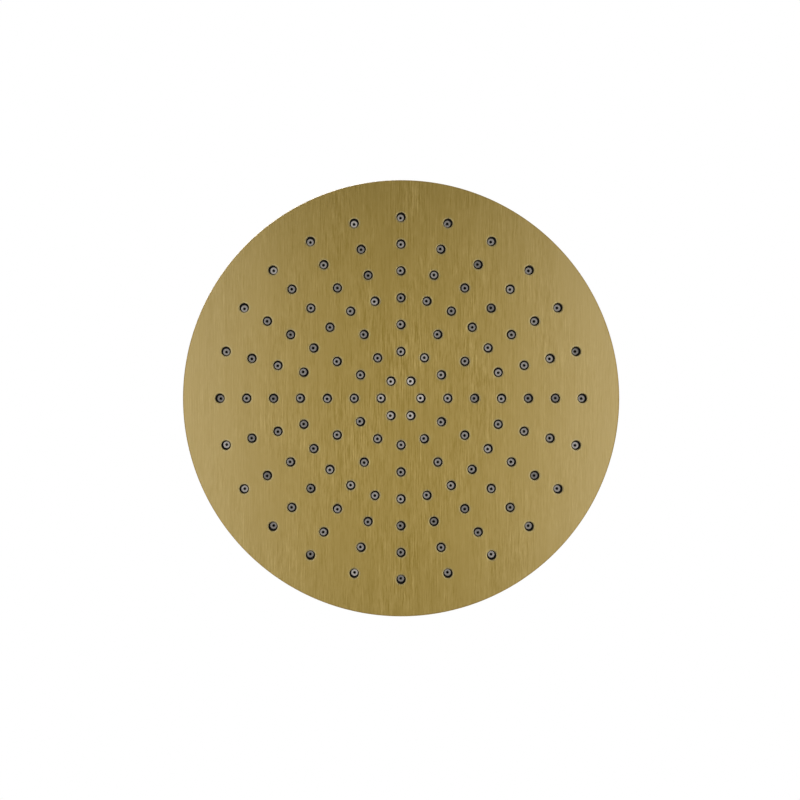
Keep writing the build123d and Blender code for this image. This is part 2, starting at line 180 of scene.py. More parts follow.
class Draft:
    """Points and faces of one piece while it is drawn, in millimetres."""

    def __init__(self, around: int) -> None:
        """Starts an empty draft.

        Args:
            around: number of points in a ring.
        """
        self.around = around
        self.points: list[tuple[float, float, float]] = []
        self.faces: list[tuple[int, ...]] = []
        self.finishes: list[int] = []
        self.rounded: list[bool] = []

    def add_point(self, x: float, y: float, z: float) -> int:
        """Adds a point and returns its number."""
        self.points.append((x, y, z))
        return len(self.points) - 1

    def add_face(self, corners: Sequence[int], finish: int = 0, rounded: bool = True) -> None:
        """Adds a face.

        Args:
            corners: its points' numbers, in order.
            finish: number of its finish.
            rounded: whether it is shaded as part of a round surface or as flat.
        """
        self.faces.append(tuple(corners))
        self.finishes.append(int(finish))
        self.rounded.append(rounded)

    def ring(self, outline: Outline, centre: Pair = (0.0, 0.0)) -> Loop:
        """Adds a closed ring of points.

        Args:
            outline: gives radius and height for an angle in radians.
            centre: where the ring's axis stands.

        Returns:
            The points' numbers, in order.
        """
        loop = []
        for step in range(self.around):
            angle = math.tau * step / self.around
            radius, height = outline(angle)
            x = centre[0] + radius * math.cos(angle)
            y = centre[1] + radius * math.sin(angle)
            loop.append(self.add_point(x, y, height))
        return loop

    def circle(self, radius: float, height: float, centre: Pair = (0.0, 0.0)) -> Loop:
        """Adds a plain circle of points and returns their numbers."""
        return self.ring(lambda angle: (radius, height), centre)

    def circles(self, profile: Profile, centre: Pair = (0.0, 0.0)) -> list[Loop]:
        """Adds a circle for each point of a section and returns them."""
        return [self.circle(radius, height, centre) for radius, height in profile]

    def bridge(self, loops: Sequence[Loop], finish: int = 0) -> None:
        """Joins rings of equal length one after the other.

        Args:
            loops: the rings, in order along the surface.
            finish: number of the faces' finish.
        """
        for near, far in zip(loops, loops[1:]):
            for step in range(len(near)):
                after = (step + 1) % len(near)
                self.add_face((near[step], near[after], far[after], far[step]), finish)

    def lathe(self, profile: Profile, closed: bool = False, finish: int = 0) -> list[Loop]:
        """Turns a section about the axis.

        Args:
            profile: points of the section as radius and height.
            closed: whether the last ring joins the first.
            finish: number of the faces' finish.

        Returns:
            The rings that were added.
        """
        loops = self.circles(profile)
        self.bridge(loops + loops[:1] if closed else loops, finish)
        return loops

    def plate(self, outer: Loop, holes: Sequence[Loop], finish: int = 0) -> None:
        """Fills a flat outline that has holes in it.

        Args:
            outer: the outline.
            holes: outlines of the holes.
            finish: number of the faces' finish.
        """
        numbers, owners, edges = [], [], []
        for owner, loop in enumerate([outer, *holes]):
            first = len(numbers)
            edges += [(first + step, first + (step + 1) % len(loop)) for step in range(len(loop))]
            numbers += loop
            owners += [owner] * len(loop)
        flat = [Vector(self.points[number][:2]) for number in numbers]
        inside_only, touching = 1, 1e-7
        _, _, faces, sources, _, _ = delaunay_2d_cdt(flat, edges, [], inside_only, touching)
        for face in faces:
            corners = [sources[corner][0] for corner in face]
            touched = {owners[corner] for corner in corners}
            if len(touched) > 1 or touched == {0}:
                self.add_face([numbers[corner] for corner in corners], finish, rounded=False)

    def fan(self, loop: Loop, height: float, centre: Pair) -> None:
        """Closes a ring with a fan of triangles.

        Args:
            loop: the ring.
            height: height of the fan's middle.
            centre: place of the fan's middle.
        """
        middle = self.add_point(*centre, height)
        for step in range(len(loop)):
            self.add_face((loop[step], loop[(step + 1) % len(loop)], middle))

    def tube(self, path: Sequence[Vector], radius: float, sides: int) -> None:
        """Adds a closed round wire along a path.

        Args:
            path: points of the wire's middle.
            radius: the wire's radius.
            sides: points round the wire.
        """
        loops = []
        for step, point in enumerate(path):
            ahead, behind = path[min(step + 1, len(path) - 1)], path[max(step - 1, 0)]
            along = (ahead - behind).normalized()
            side = along.cross(Vector((0.0, 0.0, 1.0))).normalized()
            up = side.cross(along)
            loop = []
            for turn in range(sides):
                angle = math.tau * turn / sides
                place = point + radius * (math.cos(angle) * side + math.sin(angle) * up)
                loop.append(self.add_point(*place))
            loops.append(loop)
        self.bridge(loops)
        self.add_face(loops[0])
        self.add_face(loops[-1])

    def make(self, name: str, finishes: Sequence[Material]) -> Piece:
        """Turns the draft into a piece.

        Args:
            name: the piece's name.
            finishes: materials in the order of the faces' finish numbers.

        Returns:
            The new object, linked to the scene.
        """
        mesh = bpy.data.meshes.new(name)
        mesh.from_pydata([(x * MM, y * MM, z * MM) for x, y, z in self.points], [], self.faces)
        for finish in finishes:
            mesh.materials.append(finish)
        mesh.polygons.foreach_set("material_index", self.finishes)
        work = bmesh.new()
        work.from_mesh(mesh)
        bmesh.ops.recalc_face_normals(work, faces=work.faces)
        work.to_mesh(mesh)
        work.free()
        mesh.set_sharp_from_angle(angle=math.radians(SHARP_DEGREES))
        mesh.polygons.foreach_set("use_smooth", self.rounded)
        piece = bpy.data.objects.new(name, mesh)
        bpy.context.scene.collection.objects.link(piece)
        return piece


def settle(piece: Piece, body: Body, node: str) -> None:
    """Puts a finished piece in the place of a frame node.

    Args:
        piece: the piece.
        body: the body that it rides on.
        node: the node that it stands for.
    """
    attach(piece, body.value)
    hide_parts(node)
    log.info("%s stands for %s on %s, %d faces", piece.name, node, body.value, len(piece.data.polygons))


def linear(colour: str) -> tuple[float, float, float, float]:
    """Turns an sRGB colour to linear light.

    Args:
        colour: its hex value, such as #9a8449.

    Returns:
        Red, green, blue and alpha.
    """
    values = []
    for place in (1, 3, 5):
        part = int(colour[place : place + 2], 16) / 255
        values.append(part / 12.92 if part <= 0.04045 else ((part + 0.055) / 1.055) ** 2.4)
    return (*values, 1.0)


def feed(tree: Tree, node: bpy.types.Node, inputs: dict[str | int, object]) -> None:
    """Gives inputs of a node their values and links.

    Args:
        tree: the node tree.
        node: the node.
        inputs: a value or another node's output for each named or numbered input.
    """
    for name, value in inputs.items():
        if isinstance(value, Socket):
            tree.links.new(value, node.inputs[name])
        else:
            node.inputs[name].default_value = value


def add_node(
    tree: Tree, kind: str, inputs: dict[str | int, object], output: str | int = 0, **settings: object
) -> Socket:
    """Adds a node with its settings and links.

    Args:
        tree: the node tree.
        kind: the node's type name.
        inputs: a value or another node's output for each named or numbered input.
        output: name or number of the output that is wanted.
        **settings: the node's own properties.

    Returns:
        That output.
    """
    node = tree.nodes.new(kind)
    for name, value in settings.items():
        setattr(node, name, value)
    feed(tree, node, inputs)
    return node.outputs[output]


def new_material(name: str) -> tuple[Material, Tree, bpy.types.Node]:
    """Starts a material.

    Args:
        name: the material's name.

    Returns:
        The material, its node tree and its surface shader.
    """
    material = bpy.data.materials.new(name)
    material.use_nodes = True
    tree = material.node_tree
    return material, tree, tree.nodes["Principled BSDF"]


def per_metre(*sizes_mm: float) -> tuple[float, ...]:
    """Repeats per metre from real pattern sizes in millimetres; a size of 0 leaves that way flat."""
    return tuple(1 / (size * MM) if size else 0.0 for size in sizes_mm)


@dataclass(frozen=True)
class BrushedMetal:
    """Metal that was brushed with an abrasive belt or turned on a lathe, with a thin coloured coat.

    Its scratches lie side by side, so each line has its own tone and highlights spread across the lines.
    """

    name: str
    grain: Grain
    dark: str
    light: str
    line_mm: float = 0.34  # finer on real metal; drawn as coarse as it needs to be to show
    line_length_mm: float = 9.0
    long_length_mm: float = 36.0
    long_share: float = 0.45
    line_reach: float = 0.2  # how far the lines' noise strays from a half
    line_depth_mm: float = 0.003
    band_mm: float = 7.0
    band_length_mm: float = 120.0
    band_share: float = 0.08
    patch_mm: float = 30.0  # patches where the abrasive bit more or less
    patch_length_mm: float = 60.0
    patch_reach: float = 0.18
    weakest: float = 0.28
    strongest: float = 1.7
    belt_mm: float = 110.0  # the lines fade over this width, as where a belt presses less
    belt_middle: float = 1.15
    belt_edge: float = 0.6
    contrast: float = 2.1
    paleness: float = 1.6  # above 1, pale lines stand out more than dark ones
    smooth: float = 0.36
    rough: float = 0.5
    spread: float = 0.5
    coat: float = 0.0
    coat_rough: float = 0.3
    coat_ior: float = 1.6

    def build(self) -> Material:
        """Makes the material.

        Returns:
            The new material.
        """
        material, tree, shader = new_material(self.name)
        place = add_node(tree, "ShaderNodeTexCoord", {}, "Object")
        if self.grain is Grain.ROUND:
            place = self.turned_place(tree, place)
        short = self.pattern(tree, place, self.line_mm, self.line_length_mm, in_columns=True)
        long = self.pattern(tree, place, self.line_mm, self.long_length_mm, in_columns=True)
        lines = add_node(tree, "ShaderNodeMix", {MIX_SHARE: self.long_share, MIX_A: short, MIX_B: long})
        colours = {MIX_SHARE: self.tone(tree, place, lines)}
        colours |= {COLOUR_A: linear(self.dark), COLOUR_B: linear(self.light)}
        colour = add_node(tree, "ShaderNodeMix", colours, COLOUR_OUT, data_type="RGBA")
        gloss = {"Value": lines, "From Min": 0.5 - self.line_reach, "From Max": 0.5 + self.line_reach}
        gloss |= {"To Min": self.smooth, "To Max": self.rough}
        roughness = add_node(tree, "ShaderNodeMapRange", gloss, clamp=True)
        bump = add_node(tree, "ShaderNodeBump", {"Height": lines, "Distance": self.line_depth_mm * MM})
        surface = {"Base Color": colour, "Roughness": roughness, "Normal": bump, "Metallic": 1.0}
        surface |= {"Tangent": self.across_grain(tree), "Anisotropic": self.spread}
        surface["Anisotropic Rotation"] = QUARTER_TURN if self.grain is Grain.ROUND else 0.0
        surface |= {"Coat Weight": self.coat, "Coat Roughness": self.coat_rough}
        surface["Coat IOR"] = self.coat_ior
        feed(tree, shader, surface)
        return material

    def tone(self, tree: Tree, place: Socket, lines: Socket) -> Socket:
        """Makes the lines stronger in some places than in others, and lays broad bands under them.

        Args:
            tree: the node tree.
            place: coordinates in metres, across the lines first.
            lines: the lines' tone.

        Returns:
            The share of the light colour.
        """
        patch = self.pattern(tree, place, self.patch_mm, self.patch_length_mm)
        bite = {"Value": patch, "From Min": 0.5 - self.patch_reach, "From Max": 0.5 + self.patch_reach}
        bite |= {"To Min": self.weakest, "To Max": self.strongest}
        bitten = add_node(tree, "ShaderNodeMapRange", bite, clamp=True)
        aside = add_node(tree, "ShaderNodeSeparateXYZ", {0: place})
        reach = add_node(tree, "ShaderNodeMath", {0: aside}, operation="ABSOLUTE")
        belt = {"Value": reach, "From Max": self.belt_mm * MM}
        belt |= {"To Min": self.belt_middle, "To Max": self.belt_edge}
        press = add_node(tree, "ShaderNodeMapRange", belt, clamp=True)
        strength = add_node(tree, "ShaderNodeMath", {0: bitten, 1: press}, operation="MULTIPLY")
        stray = add_node(tree, "ShaderNodeMath", {0: lines, 1: 0.5}, operation="SUBTRACT")
        scaled = {0: stray, 1: strength, 2: 0.5}
        uneven = add_node(tree, "ShaderNodeMath", scaled, operation="MULTIPLY_ADD")
        band = self.pattern(tree, place, self.band_mm, self.band_length_mm)
        blend = {MIX_SHARE: self.band_share, MIX_A: uneven, MIX_B: band}
        tone = add_node(tree, "ShaderNodeMix", blend)
        half = 0.5 / self.contrast
        limits = {"Value": tone, "From Min": 0.5 - half, "From Max": 0.5 + half}
        share = add_node(tree, "ShaderNodeMapRange", limits, clamp=True)
        return add_node(tree, "ShaderNodeMath", {0: share, 1: self.paleness}, operation="POWER")

    def pattern(
        self, tree: Tree, place: Socket, width: float, length: float, in_columns: bool = False
    ) -> Socket:
        """Noise that is drawn out along the lines.

        Args:
            tree: the node tree.
            place: coordinates in metres, across the lines first.
            width: size across the lines in millimetres.
            length: size along the lines in millimetres.
            in_columns: whether straight grain is split into columns that start at chance places.

        Returns:
            The noise, which strays either way from a half.
        """
        along = width if self.grain is Grain.ROUND else length
        size = {"Vector": place, "Scale": per_metre(width, along, 0)}
        scaled = add_node(tree, "ShaderNodeMapping", size)
        if in_columns and self.grain is Grain.STRAIGHT:
            across = add_node(tree, "ShaderNodeSeparateXYZ", {0: scaled})
            column = add_node(tree, "ShaderNodeMath", {0: across}, operation="FLOOR")
            seed = {"W": column}
            chance = add_node(tree, "ShaderNodeTexWhiteNoise", seed, "Value", noise_dimensions="1D")
            far = add_node(tree, "ShaderNodeMath", {0: chance, 1: FAR_APART}, operation="MULTIPLY")
            moved = {0: across.node.outputs["Y"], 1: far}
            start = add_node(tree, "ShaderNodeMath", moved, operation="ADD")
            scaled = add_node(tree, "ShaderNodeCombineXYZ", {"X": far, "Y": start})
        grain = {"Vector": scaled, "Scale": 1.0, "Detail": 3.0, "Roughness": 0.6}
        return add_node(tree, "ShaderNodeTexNoise", grain)

    def turned_place(self, tree: Tree, place: Socket) -> Socket:
        """Coordinates for lines that run round the axis, also over flats and flutes.

        Args:
            tree: the node tree.
            place: plain coordinates.

        Returns:
            Distance from the axis, as far as the surface faces along it, and height, as a vector.
        """
        flattened = {0: place, 1: (1.0, 1.0, 0.0)}
        level = add_node(tree, "ShaderNodeVectorMath", flattened, operation="MULTIPLY")
        radius = add_node(tree, "ShaderNodeVectorMath", {0: level}, "Value", operation="LENGTH")
        normal = add_node(tree, "ShaderNodeTexCoord", {}, "Normal")
        rise = add_node(tree, "ShaderNodeSeparateXYZ", {0: normal}, "Z")
        facing = add_node(tree, "ShaderNodeMath", {0: rise}, operation="ABSOLUTE")
        outwards = add_node(tree, "ShaderNodeMath", {0: radius, 1: facing}, operation="MULTIPLY")
        height = add_node(tree, "ShaderNodeSeparateXYZ", {0: place}, "Z")
        return add_node(tree, "ShaderNodeCombineXYZ", {"X": outwards, "Y": height})

    def across_grain(self, tree: Tree) -> Socket:
        """Finds which way highlights spread, before the shader turns that for round grain.

        Args:
            tree: the node tree.

        Returns:
            The direction.
        """
        if self.grain is Grain.ROUND:
            return add_node(tree, "ShaderNodeTangent", {}, direction_type="RADIAL", axis="Z")
        kinds = {"vector_type": "VECTOR", "convert_from": "OBJECT", "convert_to": "WORLD"}
        return add_node(tree, "ShaderNodeVectorTransform", {"Vector": (1.0, 0.0, 0.0)}, **kinds)


@dataclass(frozen=True)
class Moulded:
    """Rubber or plastic as it comes from the mould: faint mottling and a fine skin texture."""

    name: str
    dark: str
    light: str
    roughness: float
    gloss_wander: float = 0.06
    grit_mm: float = 0.12
    grit_depth_mm: float = 0.01
    grit_strength: float = 0.4
    mottle_mm: float = 3.0
    ior: float = 1.5
    subsurface: float = 0.0
    tone_name: str = ""

    def build(self) -> Material:
        """Makes the material.

        Returns:
            The new material.
        """
        material, tree, shader = new_material(self.name)
        place = add_node(tree, "ShaderNodeTexCoord", {}, "Object")
        clouds = {"Vector": place, "Scale": per_metre(self.mottle_mm)[0], "Detail": 3.0}
        mottle = add_node(tree, "ShaderNodeTexNoise", clouds)
        skin = {"Vector": place, "Scale": per_metre(self.grit_mm)[0], "Detail": 2.0}
        grit = add_node(tree, "ShaderNodeTexNoise", skin)
        colours = {MIX_SHARE: mottle, COLOUR_A: linear(self.dark), COLOUR_B: linear(self.light)}
        colour = add_node(tree, "ShaderNodeMix", colours, COLOUR_OUT, data_type="RGBA")
        if self.tone_name:
            tone = add_node(tree, "ShaderNodeAttribute", {}, "Fac", attribute_name=self.tone_name)
            toned = {0: colour, "Scale": tone}
            colour = add_node(tree, "ShaderNodeVectorMath", toned, operation="SCALE")
        dull, wander = self.roughness, self.gloss_wander
        gloss = {"Value": mottle, "To Min": dull - wander, "To Max": dull + wander}
        roughness = add_node(tree, "ShaderNodeMapRange", gloss)
        relief = {"Height": grit, "Strength": self.grit_strength, "Distance": self.grit_depth_mm * MM}
        bump = add_node(tree, "ShaderNodeBump", relief)
        surface = {"Base Color": colour, "Roughness": roughness, "Normal": bump, "IOR": self.ior}
        surface |= {"Subsurface Weight": self.subsurface, "Subsurface Radius": (MM, MM, MM)}
        feed(tree, shader, surface)
        return material


# Belt-brushed stainless sheet under a brass-coloured coat: long straight lines and a wide soft sheen.
BRUSHED_SHEET = BrushedMetal("brass_coat_brushed_sheet", Grain.STRAIGHT, "#7f6702", "#b9a15f", coat=0.97)
# The same coat over a rim that was polished as it turned: lines run round it.
POLISHED_RIM = BrushedMetal(
    "brass_coat_polished_rim", Grain.ROUND, "#8f7636", "#b3974c", smooth=0.26, coat=0.5
)
# Punching and deburring leave each hole's edge burnished: smoother, and paler where the coat is thin.
BURNISHED_EDGE = BrushedMetal(
    "brass_coat_burnished_edge", Grain.STRAIGHT, "#7a693d", "#bca658", smooth=0.3, coat=1.0
)
# Lathe-turned brass under the coat: faint rings, brighter and smoother than the sheet.
TURNED_BRASS = BrushedMetal(
    "brass_coat_turned", Grain.ROUND, "#93783a", "#bfa255", line_mm=0.3, smooth=0.2, rough=0.32, coat=0.5
)
# Turned brass with no coat: yellower and a little dull where water reaches it.
PLAIN_BRASS = BrushedMetal(
    "brass_turned", Grain.ROUND, "#af8c47", "#d9b464", line_mm=0.3, smooth=0.3, rough=0.46
)
# Turned stainless steel: cool grey with tight rings.
TURNED_STEEL = BrushedMetal(
    "stainless_turned", Grain.ROUND, "#8c8e8f", "#c3c5c6", line_mm=0.25, smooth=0.26
)
# Drawn stainless wire: bright, with lines along it too fine to see.
STEEL_WIRE = BrushedMetal(
    "stainless_wire", Grain.STRAIGHT, "#999b9c", "#d1d3d4", line_mm=0.1, smooth=0.25
)
# Moulded silicone at the nozzles' ends: soft satin grey, in a tone that differs from tip to tip.
SILICONE_TIP = Moulded(
    "silicone_tip", "#8d8782", "#9b9690", 0.5, ior=1.42, subsurface=0.15, tone_name="tip_tone"
)
# The same silicone behind the sheet, on the nozzles' sides and in their bores: painted shade, almost
# black.
SILICONE_WEB_PAINTED_SHADE = Moulded("silicone_web_painted_shade", "#0b0908", "#110f0d", 0.7, ior=1.42)
# Black nitrile rubber: matt, with a fine moulded skin.
BLACK_RUBBER = Moulded("nitrile_rubber", "#161617", "#232324", 0.62, grit_mm=0.2)
# Green nitrile, as regulator rings are coded by flow.
GREEN_RUBBER = Moulded("nitrile_rubber_green", "#24563c", "#2f6a4b", 0.55)
# Moulded acetal: milky white and slightly waxy.
WHITE_ACETAL = Moulded("acetal", "#d9d8d2", "#e6e5df", 0.34, ior=1.48, subsurface=0.1)
# Moulded ABS: mid grey with a satin skin.
GREY_ABS = Moulded("abs_grey", "#606164", "#707174", 0.45)
# Matt paint on a smooth screed: almost white, with a faint trowel mottle.
FLOOR_PAINT = Moulded(
    "matt_floor_paint", "#e4e3e0", "#eeedea", 0.8, grit_mm=4.0, grit_depth_mm=0.2, mottle_mm=400.0
)
# Matt dark grey board that keeps the floor's glare off the metal face.
GREY_CARD = Moulded("grey_card", "#3d3d3d", "#404040", 0.9, grit_mm=1.0, mottle_mm=50.0)


@dataclass(frozen=True)
class NozzlePlace:
    """Where one nozzle stands."""

    x: float
    y: float
    ring: int


@dataclass
class NozzlePattern:
    """Rings of nozzles about the centre of the face."""

    counts: tuple[int, ...] = (6, 12, 12, 24, 24, 24, 24)
    first_radius: float = 11.4
    outer_to_edge: float = 21.2
    hole_radius: float = 2.65

    def places(self) -> list[NozzlePlace]:
        """Works out where the nozzles stand.

        Returns:
            Their places, ring by ring.
        """
        outer = node_box("face_plate")[1].x - self.outer_to_edge
        pitch = (outer - self.first_radius) / (len(self.counts) - 1)
        found = []
        for ring, count in enumerate(self.counts):
            radius = self.first_radius + ring * pitch
            for step in range(count):
                angle = math.tau * step / count
                found.append(NozzlePlace(radius * math.cos(angle), radius * math.sin(angle), ring))
        return found


@dataclass
class SprayFace:
    """The drawn pan: flat spray face with deburred holes, and the rim that stands up round it."""

    pattern: NozzlePattern
    sheet: float = 1.5
    edge_radius: float = 0.6
    lip_radius: float = 0.4
    roll_width: float = 0.5  # punching rolls the holes' edges over
    roll_depth: float = 0.32
    burnish_width: float = 0.45
    roll_steps: int = 5
    edge_steps: int = 6
    lip_steps: int = 4
    around: int = 288
    hole_points: int = 40

    def build(self) -> Piece:
        """Draws the pan.

        Returns:
            The finished piece.
        """
        low, high = node_box("face_plate")
        outside, inside = high.x, high.x - self.sheet
        face, back, top = low.z, low.z + self.sheet, high.z
        draft = Draft(self.around)
        bend, curl = self.edge_radius, self.lip_radius
        edge = arc((outside - bend, face + bend), bend, -90, 0, self.edge_steps)
        lip = arc((outside - curl, top - curl), curl, 0, 90, self.lip_steps)
        corner = arc((inside - bend, back + bend), bend, 0, -90, self.lip_steps)
        loops = draft.lathe(edge + lip + [(inside, top)] + corner, finish=PanFinish.RIM)
        draft.around = self.hole_points
        outer_holes, inner_holes = [], []
        hole = self.pattern.hole_radius
        roll = arc((1.0, 1.0), 1.0, -90, -180, self.roll_steps)
        section = [(hole + self.roll_width + self.burnish_width, face)]
        section += [(hole + self.roll_width * out, face + self.roll_depth * up) for out, up in roll]
        section.append((hole, back))
        for place in self.pattern.places():
            rings = draft.circles(section, (place.x, place.y))
            draft.bridge(rings, PanFinish.HOLE_EDGE)
            outer_holes.append(rings[0])
            inner_holes.append(rings[-1])
        draft.plate(loops[0], outer_holes, PanFinish.SHEET)
        draft.plate(loops[-1], inner_holes, PanFinish.SHEET)
        finishes = [BRUSHED_SHEET.build(), POLISHED_RIM.build(), BURNISHED_EDGE.build()]
        return draft.make("spray_face", finishes)

    def dress(self) -> None:
        """Builds the pan in the place of its frame node."""
        settle(self.build(), Body.HEAD, "face_plate")


@dataclass
class NozzleMat:
    """The silicone mat: a web behind the face, and a hollow nozzle with a rounded end in each hole."""

    pattern: NozzlePattern
    tip_radius: float = 1.9
    root_gap: float = 0.3
    orifice: float = 0.6
    countersink: float = 0.24
    inlet: float = 1.3
    thickness: float = 1.2
    end_round: float = 0.25
    end_steps: int = 4
    points: int = 28
    web_points: int = 180
    seed: int = 7
    shift: Pair = (-0.27, 0.1)  # the soft mat sits a little to one side in its pan
    wander: float = 0.28  # how far single tips stray from there
    shrink: float = 0.8  # how far the outermost tips are pulled inwards
    play: float = 0.7  # no tip leans further than this, so that it stays clear of its hole
    # Tone of each ring of tips from the middle out, matched to the photograph; the cause isn't known.
    tones: tuple[float, ...] = (1.49, 0.92, 0.79, 0.88, 0.72, 0.73, 0.89)
    inner_tone_wander: float = 0.12
    outer_tone_wander: float = 0.4
    tone_values: list[float] = field(default_factory=list)

    def build(self) -> Piece:
        """Draws the mat.

        Returns:
            The finished piece.
        """
        low, high = node_box("nozzle_mat")
        draft = Draft(self.points)
        chance = random.Random(self.seed)
        web_under = high.z - self.thickness
        roots, mouths = [], []
        for place in self.pattern.places():
            start = len(draft.points)
            root, mouth = self.nozzle(draft, place, low.z, web_under, high.z, chance)
            roots.append(root)
            mouths.append(mouth)
            outwards = place.ring / (len(self.pattern.counts) - 1)
            inner, outer = self.inner_tone_wander, self.outer_tone_wander
            wander = inner + (outer - inner) * outwards
            tone = self.tones[place.ring] * (1 + chance.uniform(-wander, wander))
            self.tone_values += [tone] * (len(draft.points) - start)
        draft.around = self.web_points
        under, over = draft.lathe([(high.x, web_under), (high.x, high.z)], finish=MatFinish.WEB)
        draft.plate(under, roots, MatFinish.WEB)
        draft.plate(over, mouths, MatFinish.WEB)
        self.tone_values += [1.0] * (len(draft.points) - len(self.tone_values))
        return draft.make("soft_nozzles", [SILICONE_TIP.build(), SILICONE_WEB_PAINTED_SHADE.build()])

    def nozzle(
        self,
        draft: Draft,
        place: NozzlePlace,
        tip: float,
        root: float,
        top: float,
        chance: random.Random,
    ) -> tuple[Loop, Loop]:
        """Draws one nozzle, leaning a little from its root to its tip.

        Args:
            draft: the mat's draft.
            place: where its hole is.
            tip: height of its end.
            root: height of the web's underside.
            top: height of the web's top.
            chance: source of the small differences.

        Returns:
            The ring where it leaves the web and the ring of its mouth on top.
        """
        reach = math.hypot(place.x, place.y)
        pull = self.shrink if place.ring == len(self.pattern.counts) - 1 else 0.0
        lean = Vector(self.shift) - Vector((place.x, place.y)) * pull / reach
        lean += Vector([chance.uniform(-self.wander, self.wander) for _ in range(2)])
        lean *= min(1.0, self.play / lean.length)
        root_radius = self.pattern.hole_radius - self.root_gap
        bend = self.end_round
        end = arc((self.tip_radius - bend, tip + bend), bend, 0, -90, self.end_steps)
        skirt = [(root_radius, root), *end]
        mouth = [(self.orifice + self.countersink, tip), (self.orifice, tip + self.countersink)]
        bore = [(self.orifice, tip + 2 * self.countersink), (self.inlet, top)]
        rings = []
        for radius, height in skirt + mouth + bore:
            share = min(1.0, max(0.0, (root - height) / (root - tip)))
            centre = (place.x + lean.x * share, place.y + lean.y * share)
            rings.append(draft.circle(radius, height, centre))
        # The skirt, the mouth and the bore take the web's near-black finish, which is painted shade.
        draft.bridge(rings[:2], MatFinish.WEB)
        draft.bridge(rings[1 : len(skirt) + 1], MatFinish.TIP)
        draft.bridge(rings[len(skirt) :], MatFinish.WEB)
        return rings[0], rings[-1]

    def dress(self) -> None:
        """Builds the mat in the place of its frame node, with each tip's own tone."""
        piece = self.build()
        tones = piece.data.attributes.new("tip_tone", "FLOAT", "POINT")
        tones.data.foreach_set("value", self.tone_values)
        settle(piece, Body.HEAD, "nozzle_mat")


@dataclass
class CoverScrews:
    """Button-head screws with a hexagon socket, round the back cover."""

    count: int = 8
    head_radius: float = 2.85
    head_height: float = 1.65
    shank_radius: float = 1.5
    socket_width: float = 2.0
    socket_depth: float = 1.0
    socket_mouth: float = 1.25  # width of the turned mouth, in widths of the socket
    socket_bevel: float = 0.08
    socket_point: float = 0.12  # the drill's point at the bottom
    socket_cut: float = 0.02
    crown_steps: int = 8
    around: int = 48

    def build(self) -> Piece:
        """Draws all the screws.

        Returns:
            The finished piece.
        """
        low, high = node_box("cover_screws")
        draft = Draft(self.around)
        seat = high.z - self.head_height
        reach = (high.x - self.head_radius) / math.cos(math.pi / self.count)
        for number in range(self.count):
            angle = math.tau * (number + 0.5) / self.count
            centre = (reach * math.cos(angle), reach * math.sin(angle))
            self.screw(draft, centre, low.z, seat)
        return draft.make("cover_screws_set", [TURNED_BRASS.build()])

    def screw(self, draft: Draft, centre: Pair, tip: float, seat: float) -> None:
        """Draws one screw.

        Args:
            draft: the set's draft.
            centre: where the screw stands.
            tip: height of its end.
            seat: height of the face under its head.
        """
        crown = (self.head_radius**2 + self.head_height**2) / (2 * self.head_height)
        crown_z = seat + self.head_height - crown
        low_angle = math.degrees(math.acos(self.head_radius / crown))
        if crown_z > seat:
            low_angle = -low_angle
        mouth = self.socket_width / 2 * self.socket_mouth
        high_angle = math.degrees(math.acos(mouth / crown))
        profile = [(self.shank_radius, tip), (self.shank_radius, seat)]
        profile += arc((0.0, crown_z), crown, low_angle, high_angle, self.crown_steps)
        loops = draft.circles(profile, centre)
        crest = profile[-1][1]
        floor = seat + self.head_height - self.socket_depth
        for height in (crest - self.socket_bevel, floor):
            loops.append(draft.ring(hexagon_outline(self.socket_width, self.socket_cut, height), centre))
        draft.bridge(loops)
        draft.fan(loops[0], tip, centre)
        draft.fan(loops[-1], floor - self.socket_point, centre)

    def dress(self) -> None:
        """Builds the screws in the place of their frame node."""
        settle(self.build(), Body.HEAD, "cover_screws")


